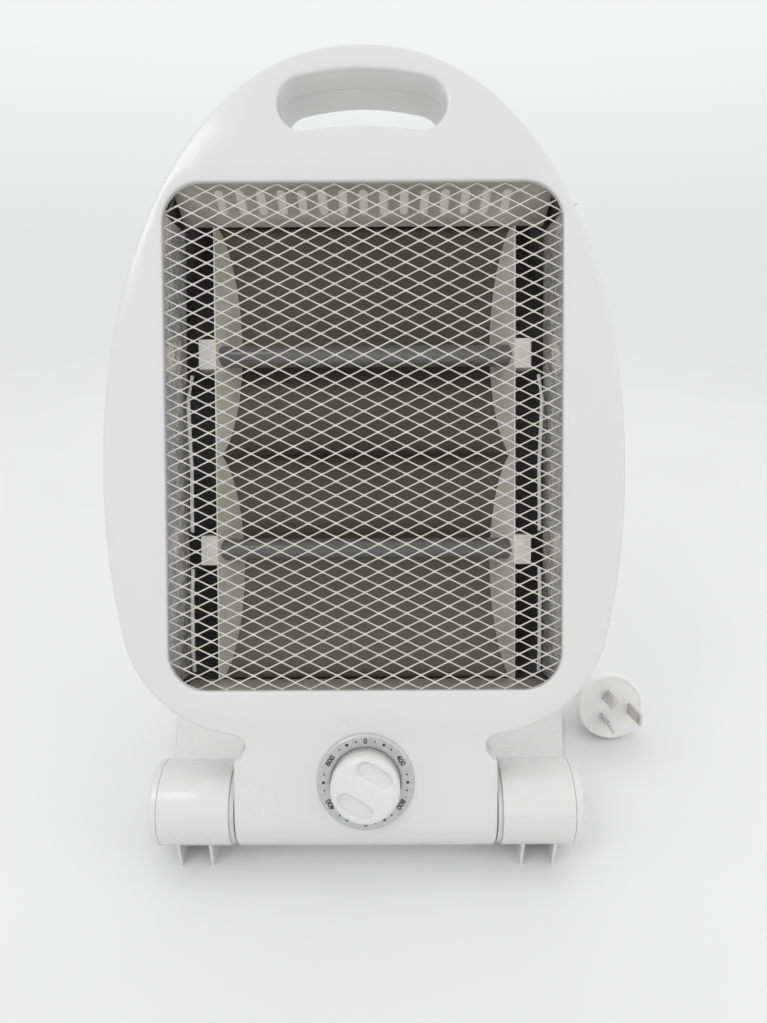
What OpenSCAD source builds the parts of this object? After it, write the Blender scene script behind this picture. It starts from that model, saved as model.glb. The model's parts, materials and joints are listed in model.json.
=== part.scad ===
// Two-bar quartz heater with a tilting body on a folding stand.
// +Z is up, the front faces -Y, and +X is to the right seen from the front.
// Body pieces are drawn upright around the tilt axis (x across, y into the body, z up the panel)
// and then leaned back. Stand pieces are drawn with y counted from the tilt axis and z from the floor.

/* [Body] */
// Width of the egg-shaped body
body_w = 229; // [220:1:240]
// Height of the body's top above the tilt axis, along the panel
body_top = 337.5; // [330:0.5:345]
// Level of the widest place above the tilt axis
widest = 150; // [140:1:160]
// Squareness of the upper outline (2 is a true ellipse)
egg_power = 2.13; // [2:0.01:2.4]
// Thickness of the moulded walls
wall = 2.4; // [2:0.1:3]
// Depth of the rear bulge behind the tilt axis
bulge_d = 40; // [39:0.5:42]
// Lean of the body in use, backwards from upright
lean = 18.5; // [0:0.5:25]

/* [Tilt barrel] */
// Radius of the barrel and of the stand's knuckles
barrel_r = 19; // [19:0.1:20]
// Half length of the barrel between the hinge collars
barrel_x = 58.7; // [58:0.1:60]
// Height of the tilt axis above the floor
axis_z = 27.6; // [27.6:0.1:29]

/* [Opening and grille] */
// Width of the opening
open_w = 174; // [168:1:176]
// Lower edge of the opening above the tilt axis
open_low = 57; // [56:0.5:60]
// Upper edge of the opening above the tilt axis
open_high = 279; // [270:0.5:280]
// Corner radius of the opening
open_r = 17; // [12:1:20]
// Diamonds of the grille across the opening (an even number)
diamonds_across = 6; // [6:2:14]
// Diamonds of the grille up the opening (an odd number)
diamonds_up = 15; // [15:2:37]
// Thickness of a grille strand
strand = 1.1; // [0.8:0.1:1.4]

/* [Handle] */
// Half distance between the handle hole's end rounds
handle_x = 25; // [22:0.5:26]
// Level of the end rounds above the tilt axis
handle_z = 312; // [310:0.5:314]
// Radius of the end rounds
handle_r = 11.7; // [10:0.1:12]
// Top of the handle hole above the tilt axis
handle_top = 326.6; // [325:0.1:328]

/* [Heating] */
// Level of the upper tube above the tilt axis
tube_high = 210; // [205:1:215]
// Level of the lower tube above the tilt axis
tube_low = 117; // [112:1:120]
// Depth of the tubes behind the tilt axis
tube_d = 16; // [14:0.5:18]
// Outer radius of a quartz tube
tube_r = 5.2; // [4.5:0.1:5.5]
// Half length of a quartz tube
tube_x = 76; // [72:0.5:77]

/* [Dial] */
// Level of the dial's centre above the tilt axis
dial_z = 16.8; // [16.5:0.1:18]
// Outer radius of the dial ring
dial_r = 21.5; // [20:0.1:22]
// Radius of the knob
knob_r = 15.2; // [14:0.1:15.2]
// Turn of the knob's grip below the horizontal, to the right
knob_turn = 32; // [0:1:90]

/* [Stand] */
// Half distance between the outer faces of the knuckles
knuckle_x = 93.5; // [92:0.5:95]
// Reach of the stand behind the tilt axis
stand_reach = 113; // [110:1:116]
// Half width of the stand at its rear
stand_half_w = 116; // [112:1:118]
// Height of the stand's flat arms above the floor
arm_top = 8.2; // [7.5:0.1:8.5]

/* [Lead] */
// Diameter of the power lead
lead_dia = 6.8; // [6:0.1:7]
// Radius of the coil to the middle of its turns
coil_r = 38; // [36:0.5:40]
// Tilt of the plug that lies on its rim and tail
plug_tilt = 16; // [15.5:0.1:17]

/* [Hidden] */
half_w = body_w / 2;
front_d = -barrel_r;                  // the panel's face, tangent to the barrel
part_d = -3;                          // joint between the front and rear shells
rim_d = 17;                           // rear of the body outside its bulge
side_r = 320;                         // long curve of the lower sides
side_turn = 12.5;                     // angle that the long curve turns through
shoulder_r = 56;                      // round of the lower shoulders
outline_steps = 14;
step = 0.05;                          // keeps faces of joined forms from lying in one plane
screw_gap = 0.15;
run_gap = 0.05;                       // radial clearance of the running fits
sheet = 0.8;                          // sheet metal of the reflector and its frame
lead_r = lead_dia / 2;

// [depth, inset] of the rim's layers, and [depth, inset, top] of the bulge's layers
rim_layers = [[front_d, 1.4], [front_d + 0.7, 0.4], [front_d + 2, 0], [rim_d - 9, 0],
  [rim_d - 3, 1.8], [rim_d, 6]];
bulge_layers = [[12, 8.5, 294], [20, 11.5, 290], [bulge_d - 10, 17.5, 284],
  [bulge_d - 4, 24.5, 277], [bulge_d, 36.5, 264]];

// The object's own reach in front of and behind the tilt axis puts the origin at its middle
front_reach = (front_d - 10) * cos(lean) + (dial_z - knob_r + 3) * sin(lean) - 3;
rear_reach = max([for (l = bulge_layers) l[0] * cos(lean) + l[2] * sin(lean)]);
axis_y = -(front_reach + rear_reach) / 2;

// Route of the lead behind the stand, from the gland to the coil and from the coil to the plug
gland_x = -41.4;
gland_z = 6.2;
gland_end = stand_reach + 26;
coil_at = [0, 182];
coil_half = lead_dia;                 // two turns side by side
coil_h = 3 * lead_dia;
plug_x = 140;
plug_face_y = 83;
plug_len = 32;
tail_len = 24;
to_coil = [[gland_x, gland_end, gland_z], [gland_x, 145, 5.4], [gland_x, 152, 4.2],
  [gland_x, 160, 3.4], [gland_x, 172, 3.4]];
to_plug = [[0, 223.4, 10.2], [15, 223.4, 9.8], [30, 223, 8], [45, 221.5, 6], [60, 219, 4.4],
  [75, 215, 3.5], [90, 209, 3.4], [104, 201, 3.4], [116, 191, 3.4], [126, 179, 3.4],
  [133, 166, 3.4], [137.5, 153, 3.4], [139.6, 144, 3.6]];
// Inner stretch of the lead, from the left hinge pin through the stand to the gland
inner_route = [[-46, 0, 27.6], [-60, 0, 27.6], [-75, 0, 27.6], [-88, 0, 27.6]];
under_route = [[-79, 13, 17.5], [-79, 22, 12.5], [-79, 31, 8], [-79, 40, 4.6], [-79, 50, 3.3],
  [-79, 66, 3.3], [-79, 82, 3.3], [-75, 92, 3.3], [-67, 97, 3.3], [-58, 98, 3.3], [-50, 99.5, 3.9],
  [-44.5, 103, 4.9], [-42, 106.5, 6], [gland_x, stand_reach - 2.3, gland_z]];
inner_r = 2.7;                        // the cores of the lead inside the stand

// ---- helpers ----

function power_point(t, a, h, n) =
  [a * sign(cos(t)) * pow(abs(cos(t)), 2 / n), h * pow(abs(sin(t)), 2 / n)];

// Half of the body's outline from the shoulder to the top, drawn inset from the edge
function right_side(inset, top, n) =
  let(sx = half_w - side_r, cx = sx + (side_r - shoulder_r) * cos(side_turn),
      cz = widest - (side_r - shoulder_r) * sin(side_turn))
  concat(
    [for (i = [0:8]) let(a = -90 + i * (90 - side_turn) / 8)
      [cx + (shoulder_r - inset) * cos(a), cz + (shoulder_r - inset) * sin(a)]],
    [for (i = [1:3]) let(a = -side_turn + i * side_turn / 3)
      [sx + (side_r - inset) * cos(a), widest + (side_r - inset) * sin(a)]],
    [for (i = [1:outline_steps]) let(
      p = power_point(i * 90 / outline_steps, half_w - inset, top - widest, n))
      [p[0], widest + p[1]]]);

function egg(inset, top, n) =
  let(r = right_side(inset, top, n))
  concat(r, [for (i = [len(r) - 2:-1:0]) [-r[i][0], r[i][1]]]);

module on_body() {
  translate([0, axis_y, axis_z]) rotate([-lean, 0, 0]) children();
}

module on_stand() {
  translate([0, axis_y, 0]) children();
}

// Extrudes an x-z outline from depth y0 to y1
module slab(y0, y1) {
  translate([0, y1, 0]) rotate([90, 0, 0]) linear_extrude(y1 - y0) children();
}

// Extrudes a y-z outline from x0 to x1
module bar(x0, x1) {
  translate([x0, 0, 0]) rotate([90, 0, 90]) linear_extrude(x1 - x0) children();
}

module rod_x(x0, x1, r, sides = 48) {
  translate([x0, 0, 0]) rotate([0, 90, 0]) cylinder(r = r, h = x1 - x0, $fn = sides);
}

module rod_y(y0, y1, r, sides = 48) {
  translate([0, y0, 0]) rotate([-90, 0, 0]) cylinder(r = r, h = y1 - y0, $fn = sides);
}

module both_sides() {
  children();
  mirror([1, 0, 0]) children();
}

module rounded(w, low, high, r) {
  hull() for (x = [-w / 2 + r, w / 2 - r], z = [low + r, high - r])
    translate([x, z]) circle(r = r, $fn = 32);
}

// Sweeps a round section along a list of points
function unit(v) = v / norm(v);
function heading(pts, i) =
  unit(pts[min(i + 1, len(pts) - 1)] - pts[max(i - 1, 0)]);
function ring(c, t, r, sides) =
  let(side = unit(cross(t, abs(t[2]) < 0.9 ? [0, 0, 1] : [1, 0, 0])), up = cross(side, t))
  [for (k = [0:sides - 1]) let(a = 360 * k / sides) c + r * (cos(a) * side + sin(a) * up)];

module sweep(pts, r, sides = 8) {
  n = len(pts);
  rings = [for (i = [0:n - 1]) each ring(pts[i], heading(pts, i), r, sides)];
  walls = [for (i = [0:n - 2], k = [0:sides - 1]) let(q = (k + 1) % sides)
    each [[i * sides + k, (i + 1) * sides + k, (i + 1) * sides + q],
          [i * sides + k, (i + 1) * sides + q, i * sides + q]]];
  start = [for (k = [0:sides - 1]) k];
  stop = [for (k = [sides - 1:-1:0]) (n - 1) * sides + k];
  polyhedron(rings, concat(walls, [start], [stop]));
}

// ---- body shells ----

module rim_form(inset) {
  hull() for (l = rim_layers)
    translate([0, l[0] < part_d ? inset : -inset, 0])
      slab(l[0], l[0] + 0.02) polygon(egg(l[1] + inset, body_top - l[1] - inset, egg_power));
}

module bulge_form(inset) {
  hull() for (l = bulge_layers)
    translate([0, -inset, 0])
      slab(l[0] - 0.02, l[0]) polygon(egg(l[1] + inset, l[2] - inset, 4));
}

module neck_outline(inset) {
  difference() {
    translate([-barrel_x + inset, 1]) square([2 * (barrel_x - inset), 44]);
    for (s = [-1, 1]) translate([s * 58.5, 31.8]) circle(r = 5 + inset, $fn = 32);
    for (s = [-1, 1]) translate([s * 61 - 2.5, 31.8 - inset]) square([5, 5 + inset]);
  }
}

module barrel_form(inset) {
  rod_x(-barrel_x + inset - step, barrel_x - inset + step, barrel_r - inset);
  slab(front_d + inset + step, rim_d - inset + 2 * step) neck_outline(inset);
}

module handle_outline(grow) {
  difference() {
    hull() {
      for (s = [-1, 1]) translate([s * handle_x, handle_z]) circle(r = handle_r + grow, $fn = 24);
      translate([0, handle_top - 40]) circle(r = 40 + grow, $fn = 60);
    }
    translate([0, handle_z - 9.3 - 150]) circle(r = 150 - grow, $fn = 120);
    translate([-60, handle_z - 60 - handle_r - grow]) square([120, 60]);
  }
}

boss_places = [[93, 68], [101, 150], [66, 292], [49, 40]];
post_places = [[66, 108.75], [66, 216]];   // spacers between the reflector and the rear shell

module bosses(y0, y1, r0, r1) {
  both_sides() for (p = boss_places) hull() {
    translate([p[0], 0, p[1]]) rod_y(y0, y0 + 0.5, r0, 16);
    translate([p[0], 0, p[1]]) rod_y(y1 - 0.5, y1, r1, 16);
  }
}

module front_shell() {
  color("white") on_body() difference() {
    union() {
      intersection() {
        difference() {
          union() { rim_form(0); barrel_form(0); }
          union() { rim_form(wall); barrel_form(wall); }
        }
        translate([-150, front_d - 1, -50]) cube([300, part_d - front_d + 1, 450]);
      }
      intersection() {
        slab(front_d + 0.3, part_d) handle_outline(wall);
        rim_form(0);
      }
      translate([0, 0, dial_z]) rod_y(front_d + 2 * step, front_d + 4, dial_r + 0.2);
      bosses(front_d + 1, part_d - 0.1, 4.2, 3.8);
    }
    slab(front_d - 1, front_d + wall + 1) rounded(open_w, open_low, open_high, open_r);
    slab(front_d - 1, part_d + 1) handle_outline(0);
    translate([0, 0, dial_z]) rod_y(front_d - 1, front_d + 5, 4.7);
    both_sides() for (p = boss_places)
      translate([p[0], 0, p[1]]) rod_y(front_d + 5, part_d + 1, 1.3, 16);
    both_sides() rod_x(barrel_x - wall - 1, barrel_x + 1, 14);
  }
}

module vent_slots() {
  for (row = [0:6], s = [-1, 1]) {
    z = row < 4 ? 206 + row * 15 : 92 + (row - 4) * 15;
    hull() for (e = [-1, 1])
      translate([s * 34 + e * 24, 0, z]) rod_y(bulge_d - 12, bulge_d + 2, 2.4, 12);
  }
}

module rear_shell() {
  color("whitesmoke") on_body() difference() {
    union() {
      intersection() {
        difference() {
          union() { rim_form(0); bulge_form(0); barrel_form(0); }
          union() { rim_form(wall); bulge_form(wall); barrel_form(wall); }
        }
        translate([-150, part_d, -50]) cube([300, 60, 450]);
      }
      intersection() {
        slab(part_d, rim_d) handle_outline(wall);
        rim_form(0);
      }
      intersection() {
        bosses(part_d + 0.1, bulge_d, 4.2, 4.6);
        union() { rim_form(0.3); bulge_form(0.3); }
      }
    }
    slab(part_d - 1, rim_d + 30) handle_outline(0);
    vent_slots();
    both_sides() for (p = boss_places) translate([p[0], 0, p[1]]) {
      rod_y(part_d - 1, rim_d + 30, 1.9, 16);
      rod_y(part_d + 8, rim_d + 30, 3.2, 20);
    }
    both_sides() for (p = post_places) translate([p[0], 0, p[1]]) {
      rod_y(bulge_d - wall - 1, bulge_d + 1, 1.6, 16);
      rod_y(bulge_d - 1.4, bulge_d + 1, 3.2, 20);
    }
    both_sides() rod_x(barrel_x - wall - 1, barrel_x + 1, 14);
  }
}

module case_screws() {
  color("silver") on_body() both_sides() for (p = boss_places) translate([p[0], 0, p[1]]) {
    rod_y(front_d + 6, part_d + 8.2, 1.3 - screw_gap);
    rod_y(part_d + 8.1, part_d + 10, 2.9);
  }
}

// ---- grille and reflector box ----

grille_d = front_d + wall + 0.3;

module grille_mesh() {
  mid = (open_low + open_high) / 2;
  half_h = (open_high - open_low) / 2;
  across = open_w / 2 / diamonds_across;
  along = half_h / diamonds_up;
  // Diamonds lie on every second place of an even grid; those on the edge are cut in half by it
  centres = [for (i = [-diamonds_across:diamonds_across], j = [-diamonds_up:diamonds_up])
    if ((i + j) % 2 == 0 && abs(i) + abs(j) < diamonds_across + diamonds_up - 1) [i * across, j * along]];
  reach = [across - strand * 1.1, along - strand * 0.55];
  corners = [[1, 0], [0, 1], [-1, 0], [0, -1]];
  holes = [for (c = centres, v = corners)
    [max(-open_w / 2, min(open_w / 2, c[0] + v[0] * reach[0])),
     mid + max(-half_h, min(half_h, c[1] + v[1] * reach[1]))]];
  r = open_r + 2;
  border = [for (s = [[1, 1], [-1, 1], [-1, -1], [1, -1]], t = [0:30:90])
    let(k = s[0] * s[1] > 0 ? t : 90 - t)
    [s[0] * (open_w / 2 + 2 - r + r * cos(k)), mid + s[1] * (half_h + 2 - r + r * sin(k))]];
  n = len(border);
  paths = concat([[for (i = [0:n - 1]) i]],
    [for (h = [0:len(centres) - 1]) [for (i = [0:3]) n + 4 * h + i]]);
  color("gainsboro") on_body() slab(grille_d, grille_d + strand) polygon(concat(border, holes), paths);
}

module grille_rim() {
  color("gainsboro") on_body() difference() {
    slab(grille_d + strand, grille_d + strand + sheet)
      rounded(open_w + 5, open_low - 2.5, open_high + 2.5, open_r + 2.5);
    slab(grille_d, grille_d + 3) rounded(open_w + 1, open_low - 0.5, open_high + 0.5, open_r + 0.5);
  }
}

box_front = grille_d + strand + sheet + 0.1;
box_back = 11;
box_x = 87.5;
reflector_x = 83;
trough_x = 73.2;                      // half length of the curved reflector
box_top = 269.5;
box_bottom = 55;
ridge_z = 162.5;
ridge_d = 12;

// Side plate from the grille's rim back to the reflector, leaning inwards
module side_plate() {
  color("silver") on_body() translate([0, 0, box_bottom + 2]) linear_extrude(box_top - box_bottom - 4)
    polygon([[box_x, box_front], [box_x + sheet, box_front],
      [reflector_x + 1.8 + sheet, box_back + 1], [reflector_x + 1.8, box_back + 1]]);
}

module side_plate_right() { side_plate(); }
module side_plate_left() { mirror([1, 0, 0]) side_plate(); }

module top_flange() {
  color("silver") on_body() difference() {
    bar(-box_x + 9, box_x - 9) polygon([[box_front, open_high + 1.5], [box_back, box_top + 0.4],
      [box_back, box_top + 0.4 + sheet], [box_front, open_high + 1.5 + sheet]]);
    for (k = [-7:7]) translate([k * 9.2, 0, box_top - 5]) {
      for (d = [-8, 2]) translate([0, d, 0]) cylinder(r = 2, h = 20, $fn = 24);
      translate([-2, -8, 0]) cube([4, 10, 20]);
    }
  }
}

module bottom_flange() {
  color("silver") on_body() bar(-box_x + 4, box_x - 4)
    polygon([[box_front, open_low - 2.4], [box_back, box_bottom - 0.4 - sheet],
      [box_back, box_bottom - 0.4], [box_front, open_low - 2.4 + sheet]]);
}

// Half of the reflector's section, seen from the side: front lip, curved back, middle ridge
function trough(lip_z, to_z) = [for (t = [0:15:180])
  let(m = (lip_z + to_z) / 2, h = (lip_z - to_z) / 2)
  [ridge_d + 18 * pow(sin(t), 0.8), m + h * cos(t)]];

function trough_line() = concat(trough(box_top, ridge_z), trough(ridge_z, box_bottom));

module reflector() {
  line = trough_line();
  color("silver") on_body() bar(-trough_x + 0.05, trough_x - 0.05)
    polygon(concat(line, [for (i = [len(line) - 1:-1:0]) line[i] + [sheet, 0]]));
}

module trough_end(s) {
  line = trough_line();
  color("silver") on_body() difference() {
    bar(s > 0 ? trough_x : -trough_x - sheet, s > 0 ? trough_x + sheet : -trough_x)
      polygon(concat([[ridge_d - 3, box_bottom], [ridge_d - 3, box_top]], line));
    for (z = [tube_low, tube_high]) translate([s * (trough_x - 4), tube_d, z])
      rotate([0, s * 90, 0]) cylinder(r = tube_r + 0.6, h = 8, $fn = 48);
  }
}

module trough_end_right() { trough_end(1); }
module trough_end_left() { trough_end(-1); }

module reflector_posts() {
  color("silver") on_body() both_sides() for (p = post_places) translate([p[0], 0, p[1]]) difference() {
    rod_y(ridge_d + 18.85, bulge_d - wall - 0.05, 4);
    rod_y(ridge_d + 19.5, bulge_d, 1.5);
  }
}

module reflector_screws() {
  color("silver") on_body() both_sides() for (p = post_places) translate([p[0], 0, p[1]]) {
    rod_y(ridge_d + 19.6, bulge_d - 1.2, 1.4);
    rod_y(bulge_d - 1.3, bulge_d - 0.2, 2.9);
  }
}

// ---- heating tubes ----

module quartz_tube(z) {
  color("lightgray", 0.6) on_body() translate([0, tube_d, z]) difference() {
    rod_x(-tube_x, tube_x, tube_r);
    rod_x(-tube_x - 1, tube_x + 1, tube_r - 1);
  }
}

module heating_coil(z) {
  color("dimgray") on_body() translate([0, tube_d, z]) rod_x(-tube_x + 3, tube_x - 3, 2.6);
}

module quartz_tube_upper() { quartz_tube(tube_high); }
module quartz_tube_lower() { quartz_tube(tube_low); }
module heating_coil_upper() { heating_coil(tube_high); }
module heating_coil_lower() { heating_coil(tube_low); }

cap_in = trough_x + sheet + 0.05;
cap_out = reflector_x - 1.2;

module ceramic_cap(s, z) {
  color("white") on_body() translate([0, tube_d, z]) difference() {
    translate([s > 0 ? cap_in : -cap_out, -7, -7]) cube([cap_out - cap_in, 14, 14]);
    mirror([s > 0 ? 0 : 1, 0, 0]) {
      rod_x(tube_x - 4, tube_x + 0.3, tube_r + 0.1);
      rod_x(tube_x, cap_out + 1, 1.6);
    }
  }
}

module ceramic_cap_upper_left() { ceramic_cap(-1, tube_high); }
module ceramic_cap_upper_right() { ceramic_cap(1, tube_high); }
module ceramic_cap_lower_left() { ceramic_cap(-1, tube_low); }
module ceramic_cap_lower_right() { ceramic_cap(1, tube_low); }

module cap_screws() {
  color("silver") on_body() both_sides() for (z = [tube_low, tube_high])
    translate([0, tube_d, z]) rod_x(tube_x + 1, cap_out + 0.9, 1.5);
}

module tube_leads() {
  color("ivory") on_body() both_sides() {
    sweep([[82.6, 12, 200], [83, 6, 188], [82, 4, 172], [81.5, 5, 155], [82, 6, 138], [82.6, 9, 126]],
      0.9, 8);
    sweep([[82.6, 9, 108], [82, 5, 98], [81.5, 3, 84], [81.5, 3, 70], [81.5, 5, 60]], 0.9, 8);
  }
}

// ---- electrical pieces in the neck and barrel ----

module rotary_switch() {
  color("dimgray") on_body() translate([0, 0, dial_z]) difference() {
    union() {
      translate([-13, front_d + 4.6, -12]) cube([26, 17, 26]);
      rod_y(front_d - 2.6, front_d + 5, 4.5);
    }
    rod_y(front_d - 3, front_d + 16, 3 + run_gap);
  }
}

module switch_nut() {
  color("silver") on_body() translate([0, 0, dial_z]) difference() {
    translate([0, front_d - 2.4, 0]) rotate([-90, 0, 0]) cylinder(r = 6.9, h = 2.4, $fn = 6);
    rod_y(front_d - 3, front_d + 1, 4.55);
  }
}

module switch_shaft() {
  color("gray") on_body() translate([0, 0, dial_z]) rod_y(front_d - 10, front_d + 15, 3);
}

module dial_ring() {
  color("silver") on_body() translate([0, front_d, dial_z]) rotate([90, 0, 0])
    rotate_extrude($fn = 96) polygon([[knob_r + 0.4, 0.05], [dial_r, 0.05], [dial_r, 0.9],
      [dial_r - 0.9, 1.6], [knob_r + 1.2, 1.3], [knob_r + 0.4, 1]]);
}

module knob() {
  color("white") on_body() translate([0, front_d - 0.45, dial_z]) rotate([0, knob_turn, 0])
    rotate([90, 0, 0]) difference() {
      rotate_extrude($fn = 96) polygon(concat([[0, 0], [knob_r, 0]],
        [for (a = [0:15:90]) [knob_r - 3 + 3 * cos(a), 9.6 + 3 * sin(a)]], [[6, 13.3], [0, 13.5]]));
      for (s = [-1, 1]) hull() for (e = [-1, 1])
        translate([e * 4.5, s * 8.3, 13.4]) sphere(r = 3.6, $fn = 24);
      difference() {
        translate([0, 0, -1]) cylinder(r = 12, h = 6, $fn = 64);
        translate([0, 0, 3.4]) cylinder(r = 6, h = 3, $fn = 48);
      }
      translate([0, 0, -1]) cylinder(r = 3, h = 10.6, $fn = 48);
    }
}

module terminal_block() {
  color("ivory") on_body() difference() {
    translate([20, 1.5, 22]) cube([24, 13, 10]);
    for (x = [24, 32, 40]) translate([x, 0, 27]) rod_y(0, 16, 1.8);
  }
}

module tip_over_switch() {
  color("black") on_body() translate([-42, -1.5, 20]) cube([20, 16, 14]);
}

module thermal_cutout() {
  color("silver") on_body() translate([0, ridge_d + 18.85, 216]) {
    rod_y(0, 5, 7);
    translate([-10, 0, -3]) cube([20, 0.8, 6]);
  }
}

// ---- hinge ----

module barrel_bearing() {
  color("lightgray") on_body() difference() {
    rod_x(47, barrel_x - wall - 0.1, barrel_r - wall - 0.2);
    rod_x(46, barrel_x + 1, 6 + run_gap);
  }
}

module barrel_bearing_right() { barrel_bearing(); }
module barrel_bearing_left() { mirror([1, 0, 0]) barrel_bearing(); }

module at_axis() {
  on_stand() translate([0, 0, axis_z]) children();
}

module hinge_pin() {
  color("gray") at_axis() difference() {
    union() {
      rod_x(44, 90.5, 6);
      rod_x(42.5, 45.4, 9);
    }
    rod_x(42, 91, 3.6);
  }
}

module hinge_pin_right() { hinge_pin(); }
module hinge_pin_left() { mirror([1, 0, 0]) hinge_pin(); }

module hinge_collar() {
  color("gainsboro") at_axis() difference() {
    rod_x(barrel_x + 0.4, 61.3, barrel_r - 1);
    rod_x(barrel_x, 62, 6.1);
  }
}

module hinge_collar_right() { hinge_collar(); }
module hinge_collar_left() { mirror([1, 0, 0]) hinge_collar(); }

module hinge_nuts() {
  color("silver") at_axis() both_sides() difference() {
    translate([86.3, 0, 0]) rotate([0, 90, 0]) cylinder(r = 10.4, h = 4, $fn = 6);
    rod_x(86, 91, 6.05);
  }
}

module spring_washers() {
  color("gray") at_axis() both_sides() difference() {
    rod_x(45.5, 46.7, 10);
    rod_x(45, 47, 6.1);
  }
}

// ---- stand ----

// Plan of the U-shaped stand, one side, with x across and y behind the tilt axis
module stand_plan(inset) {
  difference() {
    hull() both_sides() {
      translate([61.4 + inset, -5]) square([10, 10]);
      translate([knuckle_x - 10 - inset, -5]) square([10, 10]);
      translate([stand_half_w - 12, stand_reach - 12]) circle(r = 12 - inset, $fn = 48);
    }
    translate([-61.4 - inset, -20]) square([2 * (61.4 + inset), 20 + stand_reach - 26 - inset]);
  }
}

// Side view of the stand, z from the floor
function arm_side(t) = [[2 + t, axis_z - t], [11.6 - t, axis_z + 14.2 - t], [52.7 - t * 0.5, arm_top - t],
  [stand_reach - t, arm_top - t], [stand_reach - t, t > 0 ? -1 : 1.5], [10 + t, t > 0 ? -1 : 1.5]];

module fin(x) {
  bar(x - 0.7, x + 0.7) polygon([[-13.2, axis_z - 13], [-11.4, 0], [104, 0], [104, arm_top - 1],
    [52, arm_top - 1], [12, axis_z + 8], [0, axis_z]]);
}

// [x, distance behind the tilt axis, height of the boss above the foot]
foot_places = [[79.4, 9, 14], [103, 100, arm_top - 0.5]];

module stand_frame() {
  color("white") on_stand() difference() {
    union() {
      difference() {
        intersection() {
          bar(-130, 130) polygon(arm_side(0));
          translate([0, 0, -2]) linear_extrude(60) stand_plan(0);
        }
        intersection() {
          bar(-130, 130) polygon(arm_side(2.2));
          translate([0, 0, -2]) linear_extrude(60) stand_plan(2.2);
        }
      }
      both_sides() {
        translate([0, 0, axis_z]) rod_x(61.4 - step, knuckle_x, barrel_r);
        fin(72);
        fin(86.8);
      }
      both_sides() for (p = foot_places) hull() {
        translate([p[0], p[1], 2]) cylinder(r = 6.6, h = 1, $fn = 20);
        translate([p[0], p[1], p[2] - 0.5]) cylinder(r = 6.2, h = 0.5, $fn = 20);
      }
      for (x = [-24, 24]) hull() {
        translate([x, stand_reach - 18, 2]) cylinder(r = 2.4, h = 1, $fn = 12);
        translate([x, stand_reach - 18, arm_top - 1]) cylinder(r = 3, h = 0.5, $fn = 12);
      }
      intersection() {
        translate([gland_x, 0, gland_z]) rod_y(stand_reach - 16, stand_reach + step, 6.6, 32);
        translate([gland_x - 10, stand_reach - 20, 0.1]) cube([20, 30, 20]);
      }
    }
    both_sides() translate([0, 0, axis_z]) {
      difference() {
        rod_x(65, knuckle_x + 1, barrel_r - wall);
        rod_x(64, 86.2, 9);
      }
      rod_x(60, 90, 6.1);
      rod_x(knuckle_x, knuckle_x + 10, barrel_r + 0.4);
    }
    both_sides() translate([foot_places[0][0], foot_places[0][1], -1]) cylinder(r = 6.3, h = 3, $fn = 24);
    translate([gland_x, stand_reach - 14, gland_z]) rod_y(0, 20, 3.8, 24);
    // The lead's way under the arm: out of the knuckle, across the inner fin, into the rear bar
    translate([-79, 10, axis_z - 8.6]) rotate([-119, 0, 0]) cylinder(r = 4, h = 21, $fn = 24);
    translate([-75, 86, -1]) cube([6, 20, arm_top - 1.4]);
    translate([gland_x - 12, 94, -1]) cube([15.5, 13, 8]);
  }
}

module knuckle_cap() {
  color("white") at_axis() translate([knuckle_x, 0, 0]) rotate([0, 90, 0])
    rotate_extrude($fn = 96) polygon(concat(
      [[0, 0.2], [16.3, 0.2], [16.3, -2.5], [barrel_r - wall - 0.1, -2.5], [barrel_r - wall - 0.1, 0.2],
       [barrel_r, 0.2], [barrel_r, 2]],
      [for (a = [15:15:75]) [barrel_r - 2.2 + 2.2 * cos(a), 2 + 2.2 * sin(a)]],
      [[12, 4.9], [6, 5.4], [0, 5.5]]));
}

module knuckle_cap_right() { knuckle_cap(); }
module knuckle_cap_left() { mirror([1, 0, 0]) knuckle_cap(); }

module rubber_feet() {
  color("dimgray") on_stand() both_sides() for (p = foot_places)
    translate([p[0], p[1], 0]) cylinder(r = 6, h = 2, $fn = 48);
}

module lead_clips() {
  color("lightgray") on_stand() for (y = [56, 76]) translate([-79, y, 0.1]) difference() {
    translate([-4, 0, 0]) cube([8, 4, 5.8]);
    translate([-inner_r - 0.1, -1, 0.4]) cube([2 * inner_r + 0.2, 6, 6]);
  }
}

// ---- power lead ----

module stand_lead() {
  color("whitesmoke") on_stand() {
    sweep(inner_route, inner_r, 10);
    sweep(under_route, inner_r, 10);
  }
}

module cord_gland() {
  color("white") on_stand() translate([gland_x, 0, gland_z]) rotate([-90, 0, 0])
    rotate_extrude($fn = 64) polygon([[0, stand_reach - 2.3], [3.7, stand_reach - 2.3],
      [3.7, stand_reach + 0.1], [6.1, stand_reach + 0.1], [6.1, stand_reach + 3], [5.4, stand_reach + 4],
      [4, gland_end], [0, gland_end]]);
}

module lead_to_coil() {
  color("whitesmoke") on_stand() sweep(to_coil, lead_r, 10);
}

module lead_coil() {
  color("whitesmoke") on_stand() translate([coil_at[0], coil_at[1], 0])
    rotate_extrude($fn = 96) translate([coil_r - coil_half, 0]) square([2 * coil_half, coil_h]);
}

module coil_tie() {
  color("black") on_stand() translate([coil_at[0] + coil_r, coil_at[1] - 2.5, 0]) difference() {
    translate([-coil_half - 1, 0, 0]) cube([2 * coil_half + 2, 5, coil_h + 1]);
    translate([-coil_half, -1, 1]) cube([2 * coil_half, 7, coil_h - 1]);
  }
}

module at_plug() {
  on_stand() translate([plug_x, plug_face_y, 5 * sin(plug_tilt) + 19 * cos(plug_tilt)])
    rotate([90 - plug_tilt, 0, 0]) children();
}

plug_end = [plug_x, plug_face_y + (plug_len + tail_len) * cos(plug_tilt),
  5 * sin(plug_tilt) + 19 * cos(plug_tilt) - (plug_len + tail_len) * sin(plug_tilt)];

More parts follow.
